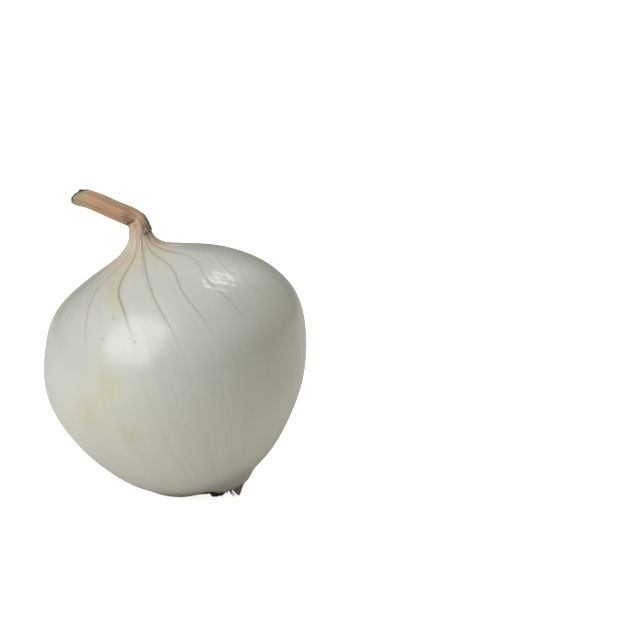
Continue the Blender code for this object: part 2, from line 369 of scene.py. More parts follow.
def bulb_shape(column, row):
    veins = vein_table()
    profile = skin_profile()
    radius, height = profile[row].T
    slope = np.gradient(profile, axis=0)
    slope /= np.linalg.norm(slope, axis=1)[:, None]
    out_r, out_h = slope[row, 1], -slope[row, 0]

    # Columns bunch so that every COLUMNS_PER_VEIN-th lies on a vein.
    stops = np.append(veins[:, 0], veins[0, 0] + tau)
    where = column / COLUMNS_PER_VEIN
    angle = np.interp(where, np.arange(len(stops)), stops)
    nearest = np.rint(where).astype(int)
    gap = np.abs(angle - stops[nearest]) * radius
    wide, ink, low, brown = veins[nearest % len(veins), 1:].T
    strength = ink * ease(height, low - 4 * MM, low + 8 * MM) * (1 - 0.7 * ease(height, 83 * MM, 87 * MM))
    relief, fold, patch = skin_relief(angle, height, radius, where * tau, strength, gap)

    # The veins are bent aside at the shoulder before they run straight down the flanks.
    bends = np.radians(np.array(SHOULDER_BEND, float))
    bend = np.interp((angle + pi) % tau - pi, bends[:, 0], bends[:, 1]) * bell(height, 79.3 * MM, 4.6 * MM)
    grain = grain_at(angle, height / NECK_HEIGHT)
    wander = radians(1.3) * ripple(grain * (1, 1, 3), 2.2, 5) * ease(height, 20 * MM, 60 * MM)
    wander += radians(0.5) * ripple(grain * (1, 1, 9), 4.0, 6) * ease(height, 55 * MM, 75 * MM)
    turn = angle + bend + wander

    # At the low front of the base the skin ends short, in a ragged edge above the dark root plate.
    ragged = 1 + 0.22 * np.sin(9 * angle) + 0.12 * np.sin(23 * angle)
    bare = bell(angle, radians(-130), radians(36)) + bell(angle, radians(230), radians(36))
    bare *= ease(4.8 * MM - height, 0, 3.6 * MM) * ragged

    wide_at = radius + relief * out_r - BARE_INSET * bare
    tall = height + relief * out_h + BARE_HEIGHT * bare
    middle = bow_at(height) - BASE_SAG * bell(height, 2.0 * MM, 5.5 * MM)
    points = np.stack([wide_at * np.cos(turn) + middle, wide_at * np.sin(turn), tall], 1)
    values = {
        "grain": grain,
        "level": height / NECK_HEIGHT,
        "vein_gap": gap / MM / wide,
        "vein_ink": strength,
        "vein_brown": np.where(brown > 0, bell(height, brown, BROWN_SPREAD), 0),
        # fold also steers the skin material's painted shade in the neck's grooves.
        "fold": fold,
        "crinkle": patch,
        "bare": np.clip(bare, 0, 1),
    }
    return settle(leaned(points)), values


# ---------------------------------------------------------------- stalk, sheath


STALK_LINE_POINTS = 400
# How much of the stalk, in mm, one unit of its grain covers.
STALK_GRAIN = 6


def stalk_line():
    """The stalk's middles and asides as arrays in the bulb's own frame, and its length.

    The asides point out of its bend.
    """
    foot = np.array((bow_at(NECK_HEIGHT), 0, NECK_HEIGHT))
    flat = smooth_curve(STALK_PATH, STALK_LINE_POINTS) * MM
    middles = foot + np.stack([flat[:, 0], 0 * flat[:, 0], flat[:, 1]], 1)
    ahead = np.gradient(middles, axis=0)
    ahead /= np.linalg.norm(ahead, axis=1)[:, None]
    aside = np.stack([ahead[:, 2], 0 * ahead[:, 0], -ahead[:, 0]], 1)
    length = np.linalg.norm(np.diff(flat, axis=0), axis=1).sum()
    return middles, aside, length


def along_line(line, share):
    """The values of an evenly spaced line at these shares of its length."""
    where = share * (len(line) - 1)
    return np.stack([np.interp(where, np.arange(len(line)), part) for part in line.T], 1)


STALK_COLUMNS = 112
STALK_ROWS = 230
STALK_OUTER_ROWS = 175
STALK_RIM_ROWS = 7
# How far the stalk's longest side ends short of its path, and how deep its open end is.
STALK_TRIM = 0.75 * MM
STALK_HOLLOW = 4.5 * MM


def stalk_end(angle):
    """How far each side of the stalk stops short of its longest point: an oblique cut, rounded below."""
    side = np.cos(angle)
    slope = 4.3 * np.clip((side + 0.7) / 1.7, 0, 1) ** 2.3
    corner = 2.5 * np.clip((-0.7 - side) / 0.3, 0, 1) ** 1.5
    ragged = 0.12 * np.sin(5 * angle + 1) + 0.10 * np.sin(11 * angle)
    return (slope + corner + ragged) * MM


def stalk_marks(share, angle):
    """Where the stalk is creased, pitted, stained brown and pale, each from 0 to 1."""
    facing = angle + pi / 2
    fold = bell(share + 0.012 * facing - 0.004 * np.sin(5 * angle), 0.266, 0.015)
    fold *= bell(facing, -0.35, 0.75)
    second = bell(share - 0.010 * facing, 0.305, 0.008) * bell(facing, -0.75, 0.45)
    pit = bell(share, 0.955, 0.010) * bell(facing, -0.30, 0.22)
    dot = bell(share, 0.205, 0.012) * bell(facing, -0.12, 0.17)
    streaks = bell(share, 0.325, 0.065) * bell(facing, -0.20, 0.75)
    streaks *= 0.72 + 0.28 * np.sin(15 * angle + 25 * share)
    return np.clip(fold + 0.7 * second, 0, 1), pit, np.clip(dot + streaks, 0, 1)


def stalk_shape(column, row):
    """A flattened, dried tube: out along its skin to an oblique cut, over the rim and back down inside."""
    middles, aside, length = stalk_line()
    angle = column / STALK_COLUMNS * tau
    angle = np.where(angle > pi, angle - tau, angle)
    inner_rows = STALK_ROWS - 1 - STALK_OUTER_ROWS - STALK_RIM_ROWS
    outside = np.clip(row / STALK_OUTER_ROWS, 0, 1)
    over = np.clip((row - STALK_OUTER_ROWS) / STALK_RIM_ROWS, 0, 1)
    inside = np.clip((row - STALK_OUTER_ROWS - STALK_RIM_ROWS) / inner_rows, 0, 1)

    end = 1 - (stalk_end(angle) + STALK_TRIM) / length
    share = end * outside - inside * STALK_HOLLOW / length
    crease, pit, stain = stalk_marks(share, angle)
    flatness = ease(share, 0.12, 0.40)
    half_wide = STALK_WIDTH / 2 * (1 - 0.05 * bell(share, 0.50, 0.2) + 0.03 * bell(share, 0.88, 0.1))
    half_wide *= 1 - 0.16 * ease(share, 0.60, 0.85) * np.clip(np.cos(angle), 0, 1)
    half_deep = (STALK_WIDTH + (STALK_DEPTH - STALK_WIDTH) * flatness) / 2
    half_deep *= (1 - 0.20 * bell(share, 0.30, 0.07)) * (1 - 0.50 * ease(share, 0.70, 1))

    # Lengthwise pleats of several widths, the finer ones uneven.
    grain = grain_at(angle, share * length / MM / STALK_GRAIN)
    pleats = 0.15 * MM * np.sin(5 * angle + 1.2 + 2 * share)
    pleats += 0.09 * MM * np.sin(9 * angle - 1.5 * share + 0.6)
    pleats += 0.05 * MM * np.sin(17 * angle + 2.4) * (1 + ripple(grain, 2.0, 31))
    pleats += 0.03 * MM * ripple(grain * (9, 9, 1.5), 1.6, 32)
    ridge = 0.30 * MM * bell(angle, radians(-38), radians(16)) * bell(share, 0.22, 0.09)
    hollow = -0.42 * MM * crease - 0.30 * MM * pit - 0.12 * MM * stain
    wall = 0.40 * MM * np.sin(over * pi / 2) + 0.10 * MM * inside
    lip = 0.10 * MM * np.sin(over * pi)
    shift = (pleats + ridge + hollow) * (1 - 0.5 * inside) - wall + lip

    middle = along_line(middles, share)
    side = along_line(aside, share)
    points = middle + side * ((half_wide + shift) * np.cos(angle))[:, None]
    points[:, 1] += (np.maximum(half_deep + shift, 0.12 * MM)) * np.sin(angle)
    values = {
        "grain": grain,
        "level": share,
        # inner, crease and ridge also steer the material's painted shade in the open end, the creases and
        # the pleat valleys, and its painted highlight on the pleat ridges.
        "inner": np.clip(over + inside + 0.7 * ease(outside, 0.966, 0.992), 0, 1),
        "edge": np.abs(np.cos(angle)) ** 4,
        "crease": np.clip(crease + pit, 0, 1),
        "stain": stain,
        "ridge": np.clip(pleats / (0.2 * MM), -1, 1),
    }
    return leaned(points), values


SHEATH_COLUMNS = 120
SHEATH_ROWS = 50
SHEATH_SPREAD = radians(74)
SHEATH_THICKNESS = 0.24 * MM
# Where it starts and stops, along the stalk's middle line.
SHEATH_START = 2.7 * MM
SHEATH_STOP = 6.5 * MM


def sheath_shape(column, row):
    """A thin, dark, curled half sleeve round the outer side of the bend, with ragged edges."""
    middles, aside, length = stalk_line()
    half = SHEATH_COLUMNS // 2
    on_outside = column < half
    across = np.where(on_outside, column, SHEATH_COLUMNS - 1 - column) / (half - 1) * 2 - 1
    up = row / (SHEATH_ROWS - 1)
    spread = SHEATH_SPREAD * (1 - 0.55 * up**1.6)
    angle = across * spread + 0.06 * np.sin(7 * up + 1) + 0.03 * np.sin(17 * up)
    ragged = 0.30 * MM * np.sin(7 * angle + 1) + 0.18 * MM * np.sin(19 * angle + 1)
    start = SHEATH_START + 0.8 * ragged
    stop = SHEATH_STOP + 1.6 * ragged - 1.4 * MM * across**2
    share = (start + (stop - start) * up) / length
    thick = SHEATH_THICKNESS * (1 - 0.4 * up)
    wrinkle = 0.10 * MM * np.sin(9 * angle + 2) + 0.05 * MM * np.sin(23 * angle + 6 * up)
    lift = 0.42 * MM * (1 - up) ** 1.5 + wrinkle - 0.10 * MM * up
    radius = STALK_WIDTH / 2 + 0.20 * MM + lift + np.where(on_outside, thick, 0)
    middle = along_line(middles, share)
    side = along_line(aside, share)
    points = middle + side * (radius * np.cos(angle))[:, None]
    points[:, 1] += radius * np.sin(angle)
    grain = grain_at(angle, share * length / MM / STALK_GRAIN)
    rim = np.maximum(ease(0.16 - up, 0, 0.12), bell(across, 0, 0.34))
    return leaned(points), {"grain": grain, "level": up, "edge": np.maximum(rim, np.abs(across) ** 8)}


# ---------------------------------------------------------------- root end

PLATE_COLUMNS = 120
PLATE_ROWS = 44
# How far the plate swells out and down past the skin's torn edge.
SWELL_OUT = 0.36
SWELL_DOWN = 0.85 * MM


def plate_shape(column, row):
    """The corky root plate: a shallow, knobbly dome set in the bulb's base."""
    angle = column / PLATE_COLUMNS * tau
    profile = smooth_curve(
        [
            (0.05 * MM, 0.0),
            (PLATE_RADIUS * 0.6, PLATE_BULGE * 0.25),
            (PLATE_RADIUS * 0.93, PLATE_BULGE * 0.8),
            (PLATE_RADIUS, PLATE_BULGE + 0.25 * MM),
            (PLATE_RADIUS * 0.97, PLATE_THICKNESS),
            (0.05 * MM, PLATE_THICKNESS),
        ],
        PLATE_ROWS,
    )
    radius, height = profile[row].T
    bared = bell(angle, radians(227), radians(46))
    side = ease(radius, PLATE_RADIUS * 0.55, PLATE_RADIUS * 0.95)
    wide = radius * (1 + SWELL_OUT * np.clip(bared, 0, 1) * side * (1 + 0.08 * np.sin(13 * angle)))
    spot = np.stack([wide * np.cos(angle), wide * np.sin(angle), height], 1) / MM
    knobs = ripple(spot, 2.6, 21) + 0.6 * ripple(spot, 6.5, 22)
    under = ease(PLATE_THICKNESS - height, 0, PLATE_THICKNESS / 2)
    points = spot * MM
    points[:, :2] *= (1 + 0.025 * knobs * side)[:, None]
    points[:, 2] += 0.16 * MM * knobs * under - SWELL_DOWN * bared * side * under
    points[:, 0] += bow_at(0)
    points = leaned(points)
    points[:, 2] = off_floor(points[:, 2], 0.05 * MM, 0.1 * MM)
    return points, {"knob": knobs}


# Roots come in this order: stout ones in front, stout ones in a fan behind, two hairs, fine ones.
ROOTS = 70
STOUT_ROOTS = 12
FRONT_ROOTS = 3
ROOT_POINTS = 12
HAIR_RADIUS = 0.27 * MM
STOUT_RADIUS = 0.15 * MM
FINE_RADIUS = 0.07 * MM
FRONT_FAN = (-104, -79)
BACK_FAN = (-14, 112)
# The two hairs' middle lines: (right, back, up) in mm in the bulb's own frame.
HAIRS = (
    ((0.50, -4.3, 0.60), (0.66, -4.6, -1.0), (1.25, -4.8, -2.3)),
    ((0.85, -4.3, 0.60), (1.10, -4.5, -0.8), (1.55, -4.6, -2.0)),
)


def root_line(index):
    """The middle line of one dry root in the object's frame: out of the plate, down and aside."""
    dice = np.random.default_rng(100 + index)
    hair = index - STOUT_ROOTS
    if 0 <= hair < len(HAIRS):
        line = leaned(smooth_curve(HAIRS[hair], ROOT_POINTS) * MM)
    else:
        if index < FRONT_ROOTS:
            angle = radians(FRONT_FAN[0] + (FRONT_FAN[1] - FRONT_FAN[0]) * index / (FRONT_ROOTS - 1))
        elif index < STOUT_ROOTS:
            place = (index - FRONT_ROOTS) / (STOUT_ROOTS - FRONT_ROOTS - 1)
            angle = radians(BACK_FAN[0] + (BACK_FAN[1] - BACK_FAN[0]) * place)
        else:
            angle = dice.uniform(-pi, pi)
        stout = index < STOUT_ROOTS
        reach = dice.uniform(0.35, 0.8) if stout else dice.uniform(0.1, 0.92)
        length = (dice.uniform(1.8, 3.8) if stout else dice.uniform(0.8, 2.6)) * MM
        outward = np.array((cos(angle), sin(angle), 0))
        sideways = np.array((-sin(angle), cos(angle), 0))
        bend = dice.uniform(-0.5, 0.5) * length
        steps = np.linspace(0, 1, ROOT_POINTS)
        start = np.array((bow_at(0), 0, 0.35 * MM))
        line = start + outward * (reach * PLATE_RADIUS + 0.65 * length * steps)[:, None]
        line += sideways * (bend * steps**2)[:, None]
        line[:, 2] -= 0.75 * length * steps * (1 - 0.55 * steps)
        line = leaned(line)
    line += 0.07 * MM * np.stack([ripple(line / MM, 3.0, 40 + index + k) for k in range(3)], 1)
    line[:, 2] = off_floor(line[:, 2], 0.12 * MM, 0.12 * MM)
    return line


def build_roots():
    """All dry roots as one piece: stout ones, two hairs and a stubble of fine ones."""
    work = bmesh.new()
    tone = work.verts.layers.float.new("tint")
    for index in range(ROOTS):
        line = root_line(index)
        hair = 0 <= index - STOUT_ROOTS < len(HAIRS)
        stout = index < STOUT_ROOTS
        radius = HAIR_RADIUS if hair else STOUT_RADIUS if stout else FINE_RADIUS
        sides = 8 if stout or hair else 6
        bmesh.ops.create_grid(work, x_segments=sides, y_segments=ROOT_POINTS - 1, size=1)
        fresh = [vert for vert in work.verts if not vert.tag]
        for vert in fresh:
            vert.tag = True
            turn = pi * vert.co.x
            step = round((vert.co.y + 1) / 2 * (ROOT_POINTS - 1))
            ahead = Vector(line[min(step + 1, ROOT_POINTS - 1)] - line[max(step - 1, 0)])
            size = radius * (1 - 0.6 * step / (ROOT_POINTS - 1)) * (1 + 0.15 * sin(2.7 * step + index))
            ring = Vector((cos(turn), sin(turn), 0)) * size
            vert.co = ahead.to_track_quat("Z", "Y") @ ring + Vector(line[step])
            vert[tone] = 0.30 if hair else 0.5 + 0.5 * sin(index * 1.9)
    seams = [vert for vert in work.verts if vert.is_boundary]
    bmesh.ops.remove_doubles(work, verts=seams, dist=1e-7)
    bmesh.ops.holes_fill(work, edges=work.edges)
    bmesh.ops.recalc_face_normals(work, faces=work.faces)
    return piece("rootlets", work)


# The flap's edges, (right, up) in mm in the bulb's own frame, and how far it is in front of the axis.
FLAP_LEFT = ((1.2, -0.05), (1.75, -1.35), (2.75, -2.55))
FLAP_RIGHT = ((5.65, 0.90), (4.62, -0.50), (2.98, -2.62))
FLAP_FORWARD = 3.35
FLAP_THICKNESS = 0.16 * MM


def build_flap():
    """The dry triangular flake of skin that stands off the base, thin, curled and torn at its tip."""
    work = bmesh.new()
    bmesh.ops.create_grid(work, x_segments=30, y_segments=26, size=1)
    at = np.array([vert.co for vert in work.verts])
    across, down = at[:, 0], (1 - at[:, 1]) / 2
    left = smooth_curve(FLAP_LEFT, 60)
    right = smooth_curve(FLAP_RIGHT, 60)
    share = (across + 1) / 2
    edge_low, edge_high = along_line(left, down), along_line(right, down)
    flat = edge_low + (edge_high - edge_low) * share[:, None]
    flat[:, 1] += 0.10 * np.sin(7 * across + 2) * (1 - down) + 0.05 * np.sin(16 * across)
    flat[:, 0] += 0.06 * np.sin(19 * down + 1) * across
    curl = 0.35 * across**2 + 0.45 * down**2 + 0.10 * np.sin(4 * across + 6 * down)
    curl += 0.05 * np.sin(11 * across)
    points = leaned(np.stack([flat[:, 0], -FLAP_FORWARD - curl, flat[:, 1]], 1) * MM)
    points[:, 2] = off_floor(points[:, 2], 0.12 * MM, 0.15 * MM)
    for vert, point in zip(work.verts, points):
        vert.co = point
    made = piece("dry_skin_flap", work, {"across": across, "down": down})
    thick = made.modifiers.new("thickness", "SOLIDIFY")
    thick.thickness = FLAP_THICKNESS
    thick.offset = 0
    return made


# ---------------------------------------------------------------- materials


class Nodes:
    """Short ways to add nodes to one tree; a value may be a number, a colour or another node's output."""

    def __init__(self, tree):
        self.tree = tree

    def add(self, kind, inputs=(), out=0, **settings):
        made = self.tree.nodes.new(kind)
        for key, value in settings.items():
            setattr(made, key, value)
        for key, value in dict(inputs).items():
            self.put(made.inputs[key], value)
        return made.outputs[out]

    def put(self, socket, value):
        if isinstance(value, bpy.types.NodeSocket):
            self.tree.links.new(value, socket)
        elif isinstance(value, (tuple, list)) and socket.type == "RGBA" and len(value) == 3:
            socket.default_value = (*value, 1)
        else:
            socket.default_value = value

    def attribute(self, name, out="Fac"):
        return self.add("ShaderNodeAttribute", out=out, attribute_name=name)

    def math(self, operation, a, b):
        return self.add("ShaderNodeMath", {0: a, 1: b}, operation=operation)

    def times(self, a, b):
        return self.math("MULTIPLY", a, b)

    def scaled(self, vector, x, y, z):
        return self.add("ShaderNodeVectorMath", {0: vector, 1: (x, y, z)}, operation="MULTIPLY")

    def noise(self, vector, scale=1.0, detail=3.0, rough=0.5, warp=0.0):
        return self.add(
            "ShaderNodeTexNoise",
            {"Vector": vector, "Scale": scale, "Detail": detail, "Roughness": rough, "Distortion": warp},
        )

    def step(self, value, low, high, to_low=0.0, to_high=1.0):
        """A smooth step from to_low at low to to_high at high."""
        return self.add(
            "ShaderNodeMapRange",
            {"Value": value, "From Min": low, "From Max": high, "To Min": to_low, "To Max": to_high},
            interpolation_type="SMOOTHSTEP",
        )

    def mix(self, share, a, b, blend="MIX"):
        made = self.tree.nodes.new("ShaderNodeMix")
        made.data_type = "RGBA"
        made.blend_type = blend
        self.put(made.inputs[0], share)
        self.put(made.inputs[6], a)
        self.put(made.inputs[7], b)
        return made.outputs[2]

    def spot(self, vector, middle, radius):
        """1 at the middle, falling smoothly to 0 at the radius."""
        far = self.add("ShaderNodeVectorMath", {0: vector, 1: middle}, out="Value", operation="DISTANCE")
        return self.step(far, 0.0, radius, 1.0, 0.0)


def new_material(name):
    made = bpy.data.materials.new(name)
    made.use_nodes = True
    shader = made.node_tree.nodes["Principled BSDF"]
    return made, Nodes(made.node_tree), shader


def new_group(name, inputs, outputs):
    """A shader node group with float, vector or colour sockets, each given as (name, kind, value)."""
    tree = bpy.data.node_groups.new(name, "ShaderNodeTree")
    for label, kind, value in inputs:
        socket = tree.interface.new_socket(label, in_out="INPUT", socket_type=f"NodeSocket{kind}")
        if value is not None:
            socket.default_value = value
    for label, kind in outputs:
        tree.interface.new_socket(label, in_out="OUTPUT", socket_type=f"NodeSocket{kind}")
    nodes = Nodes(tree)
    return tree, nodes, tree.nodes.new("NodeGroupInput"), tree.nodes.new("NodeGroupOutput")


def fibres_group():
    """Fine lengthwise fibres: a mask from 0 to 1, and its height for bump."""
    tree, nodes, inside, out = new_group(
        "fibres",
        [("Grain", "Vector", None), ("Across", "Float", 20.0), ("Along", "Float", 1.0)],
        [("Mask", "Float"), ("Fine", "Float")],
    )
    across, along = inside.outputs["Across"], inside.outputs["Along"]
    join = nodes.add("ShaderNodeCombineXYZ", {0: across, 1: across, 2: along})
    grain = inside.outputs["Grain"]
    stretched = nodes.add("ShaderNodeVectorMath", {0: grain, 1: join}, operation="MULTIPLY")
    broad = nodes.noise(stretched, 1.0, 3.0, 0.55, 0.15)
    finer = nodes.noise(nodes.scaled(stretched, 3.1, 3.1, 1.7), 1.0, 2.0, 0.6)
    nodes.put(out.inputs["Mask"], nodes.step(broad, 0.3, 0.7))
    nodes.put(out.inputs["Fine"], finer)
    return tree


def grouped(nodes, tree, **inputs):
    made = nodes.tree.nodes.new("ShaderNodeGroup")
    made.node_tree = tree
    for key, value in inputs.items():
        nodes.put(made.inputs[key], value)
    return made.outputs


FIBRES = fibres_group()


def bump(nodes, height, strength, distance, normal=None):
    inputs = {"Height": height, "Strength": strength, "Distance": distance}
    if normal is not None:
        inputs["Normal"] = normal
    return nodes.add("ShaderNodeBump", inputs)


# Stains on the skin: angle in degrees, height and radius in mm, strength and color.
STAINS = (
    (-107.0, 79.0, 6.0, 0.85, "yellow"),
    (-102.0, 77.0, 4.5, 0.50, "yellow"),
    (-113.0, 54.0, 7.0, 0.60, "yellow"),
    (-128.0, 46.0, 9.0, 0.50, "yellow"),
    (-119.0, 50.0, 6.5, 0.35, "yellow"),
    (-113.0, 36.0, 6.5, 0.60, "yellow"),
    (-113.6, 67.0, 0.9, 0.55, "brown"),
    (-97.5, 64.0, 0.8, 0.45, "brown"),
    (-113.0, 28.0, 1.0, 0.50, "brown"),
    (-105.0, 71.5, 1.0, 0.45, "brown"),
    (60.0, 58.0, 7.0, 0.50, "yellow"),
    (125.0, 40.0, 1.0, 0.45, "brown"),
    (20.0, 30.0, 6.5, 0.40, "yellow"),
)
STAIN_COLORS = {"yellow": (0.655, 0.590, 0.350), "brown": (0.360, 0.270, 0.160)}


def stained(nodes, grain, color):
    """The skin colour with its few stains."""
    evened = nodes.scaled(grain, 1, 1, NECK_HEIGHT / BELLY_RADIUS)
    ragged = nodes.noise(evened, 22.0, 2.0, 0.5)
    for angle, height, size, strength, tone in STAINS:
        middle = (cos(radians(angle)), sin(radians(angle)), height * MM / BELLY_RADIUS)
        share = nodes.spot(evened, middle, size * MM / BELLY_RADIUS)
        share = nodes.times(share, nodes.step(ragged, 0.30, 0.60, 0.5 * strength, strength))
        color = nodes.mix(share, color, STAIN_COLORS[tone])
    return color


def skin_material():
    made, nodes, shader = new_material("white_onion_skin")
    grain = nodes.attribute("grain", "Vector")
    level = nodes.attribute("level")
    gap = nodes.attribute("vein_gap")
    ink = nodes.attribute("vein_ink")
    brown = nodes.attribute("vein_brown")
    fold = nodes.attribute("fold")

    facets = grouped(nodes, FIBRES, Grain=grain, Across=4.5, Along=0.7)
    streaks = grouped(nodes, FIBRES, Grain=grain, Across=11.0, Along=1.0)
    threads = grouped(nodes, FIBRES, Grain=grain, Across=42.0, Along=2.2)
    clouds = nodes.noise(nodes.scaled(grain, 1.6, 1.6, 2.6), 1.0, 4.0, 0.55)

    # Body: greenish white above, a little warmer below, with soft lengthwise bands.
    uneven = nodes.math("ADD", level, nodes.times(nodes.math("SUBTRACT", clouds, 0.5), 0.5))
    color = nodes.mix(nodes.step(uneven, 0.30, 0.72), (0.700, 0.690, 0.615), (0.665, 0.688, 0.625))
    color = nodes.mix(nodes.times(facets["Mask"], 0.30), color, (0.615, 0.640, 0.560))
    color = nodes.mix(nodes.times(streaks["Mask"], 0.11), color, (0.600, 0.620, 0.535))
    color = nodes.mix(nodes.times(threads["Mask"], 0.03), color, (0.540, 0.555, 0.450))

    # Base: warmer and browner towards the root plate, darkest at its edge.
    root = nodes.step(nodes.math("ADD", level, nodes.times(streaks["Mask"], 0.03)), 0.14, 0.01)
    color = nodes.mix(nodes.times(root, 0.32), color, (0.600, 0.530, 0.420))
    rim = nodes.step(nodes.math("ADD", level, nodes.times(threads["Mask"], 0.008)), 0.030, 0.012)
    color = nodes.mix(nodes.times(rim, 0.45), color, (0.330, 0.260, 0.190))
    bare = nodes.step(nodes.attribute("bare"), 0.35, 0.95)
    color = nodes.mix(nodes.times(bare, 0.85), color, (0.130, 0.090, 0.062))

    # Neck: pinkish beige, with painted shade, a darker tan, in patches along the grooves between its soft
    # folds.
    neck = nodes.step(nodes.math("ADD", level, nodes.times(streaks["Mask"], 0.02)), 0.895, 0.972)
    pinks = nodes.noise(nodes.scaled(grain, 3.0, 3.0, 14.0), 1.0, 2.0, 0.5)
    blush = nodes.mix(nodes.step(pinks, 0.45, 0.62), (0.640, 0.530, 0.410), (0.670, 0.500, 0.410))
    color = nodes.mix(nodes.times(neck, 0.92), color, blush)
    # Painted shade: darker tan where the neck's grooves sink, in patches where the pink noise is high.
    groove_shade = nodes.times(nodes.step(fold, 0.0, -0.8), nodes.step(pinks, 0.35, 0.60))
    color = nodes.mix(nodes.times(nodes.times(groove_shade, neck), 0.42), color, (0.420, 0.315, 0.205))
    color = stained(nodes, grain, color)

    # Veins: a fine core in a wide faint halo, broken up along its length.
    broken = nodes.step(threads["Fine"], 0.30, 0.62, 0.55, 1.0)
    core = nodes.times(nodes.step(gap, 0.95, 0.10), nodes.times(ink, broken))
    halo = nodes.times(nodes.step(gap, 3.2, 0.3), nodes.times(ink, 0.42))
    hue = nodes.mix(brown, (0.330, 0.355, 0.240), (0.440, 0.260, 0.130))
    pale_hue = nodes.mix(brown, (0.530, 0.570, 0.440), (0.640, 0.520, 0.400))
    color = nodes.mix(halo, color, pale_hue)
    color = nodes.mix(nodes.times(core, 0.90), color, hue)

    nodes.put(shader.inputs["Base Color"], color)
    nodes.put(shader.inputs["Roughness"], nodes.step(streaks["Fine"], 0.2, 0.8, 0.28, 0.42))
    dull = nodes.math("MAXIMUM", neck, bare)
    nodes.put(shader.inputs["Coat Weight"], nodes.step(dull, 0.0, 1.0, 0.75, 0.0))
    shader.inputs["Coat Roughness"].default_value = 0.21
    shader.inputs["Subsurface Weight"].default_value = 0.22
    shader.inputs["Subsurface Radius"].default_value = (1.0, 0.85, 0.6)
    shader.inputs["Subsurface Scale"].default_value = 0.004
    ridges = bump(nodes, threads["Mask"], 0.025, 0.25 * MM)
    bands = bump(nodes, streaks["Fine"], 0.03, 0.5 * MM, ridges)
    nodes.put(shader.inputs["Normal"], bump(nodes, facets["Fine"], 0.16, 1.2 * MM, bands))
    return made


def dry_leaf(name, pale, mid, dark, across, along):
    """The shared look of dried leaf: fibres of three tones. Gives what a material needs to add to it."""
    made, nodes, shader = new_material(name)
    grain = nodes.attribute("grain", "Vector")
    fibres = grouped(nodes, FIBRES, Grain=grain, Across=across, Along=along)
    patches = nodes.noise(nodes.scaled(grain, 1.4, 1.4, 1.0), 1.0, 3.0, 0.6)
    color = nodes.mix(nodes.step(patches, 0.36, 0.64), mid, pale)
    color = nodes.mix(nodes.times(fibres["Mask"], 0.55), color, dark)
    nodes.put(shader.inputs["Roughness"], nodes.step(fibres["Fine"], 0.2, 0.8, 0.55, 0.8))
    nodes.put(shader.inputs["Normal"], bump(nodes, fibres["Mask"], 0.5, 0.18 * MM))
    return made, nodes, shader, color, fibres


def stalk_material():
    made, nodes, shader, color, fibres = dry_leaf(
        "dried_stalk", (0.680, 0.420, 0.280), (0.590, 0.370, 0.205), (0.450, 0.285, 0.155), 5.0, 1.2
    )
    level = nodes.attribute("level")
    inner = nodes.attribute("inner")
    ridge = nodes.attribute("ridge")
    stain = nodes.attribute("stain")
    # Painted highlight on the raised pleats and painted shade in the sunken ones.
    color = nodes.mix(nodes.step(ridge, 0.2, 1.0, 0.0, 0.28), color, (0.720, 0.500, 0.350))
    color = nodes.mix(nodes.step(ridge, -0.2, -1.0, 0.0, 0.28), color, (0.360, 0.230, 0.135))
    color = nodes.mix(nodes.times(nodes.attribute("edge"), 0.40), color, (0.330, 0.260, 0.195))
    foot = nodes.step(nodes.math("ADD", level, nodes.times(fibres["Mask"], 0.05)), 0.36, 0.18)
    color = nodes.mix(nodes.times(foot, 0.80), color, (0.600, 0.465, 0.340))
    stained_part = nodes.times(stain, nodes.step(fibres["Fine"], 0.35, 0.60, 0.70, 1.0))
    color = nodes.mix(stained_part, color, (0.225, 0.125, 0.058))
    # Painted shade: near black in the creases by the bend and in the pit near the tip.
    creased = nodes.step(nodes.attribute("crease"), 0.15, 0.85)
    color = nodes.mix(nodes.times(creased, 0.82), color, (0.120, 0.068, 0.036))
    tip = nodes.step(nodes.math("ADD", level, nodes.times(fibres["Mask"], 0.06)), 0.78, 0.93)
    color = nodes.mix(nodes.times(tip, 0.85), color, (0.390, 0.365, 0.215))
    # Painted shade: near black inside the open end, over its rim and just below it on the outside.
    rim = nodes.times(nodes.step(inner, 0.10, 0.70), nodes.step(level, 0.60, 0.70))
    color = nodes.mix(nodes.times(rim, 0.85), color, (0.130, 0.088, 0.050))
    nodes.put(shader.inputs["Base Color"], color)
    return made


def sheath_material():
    made, nodes, shader, color, _ = dry_leaf(
        "dried_sheath", (0.560, 0.385, 0.280), (0.450, 0.280, 0.185), (0.220, 0.125, 0.075), 6.0, 1.0
    )
    edge = nodes.attribute("edge")
    color = nodes.mix(nodes.times(edge, 0.55), color, (0.100, 0.058, 0.038))
    nodes.put(shader.inputs["Base Color"], color)
    return made


def plate_material():
    made, nodes, shader = new_material("root_plate_cork")
    place = nodes.add("ShaderNodeTexCoord", out="Object")
    knob = nodes.attribute("knob")
    grit = nodes.noise(place, 2600.0, 4.0, 0.65)
    color = nodes.mix(nodes.step(knob, -0.8, 0.9), (0.030, 0.020, 0.014), (0.160, 0.110, 0.070))
    color = nodes.mix(nodes.step(grit, 0.5, 0.75), color, (0.240, 0.185, 0.125))
    nodes.put(shader.inputs["Base Color"], color)
    shader.inputs["Roughness"].default_value = 0.85
    nodes.put(shader.inputs["Normal"], bump(nodes, grit, 0.7, 0.2 * MM))
    return made


def root_material():
    made, nodes, shader = new_material("dry_root")
    place = nodes.add("ShaderNodeTexCoord", out="Object")
    tint = nodes.attribute("tint")
    grit = nodes.noise(place, 1500.0, 3.0, 0.6)
    color = nodes.mix(tint, (0.070, 0.045, 0.030), (0.300, 0.215, 0.165))
    color = nodes.mix(nodes.times(nodes.step(grit, 0.4, 0.7), 0.5), color, (0.050, 0.035, 0.025))
    nodes.put(shader.inputs["Base Color"], color)
    shader.inputs["Roughness"].default_value = 0.75
    nodes.put(shader.inputs["Normal"], bump(nodes, grit, 0.4, 0.08 * MM))
    return made


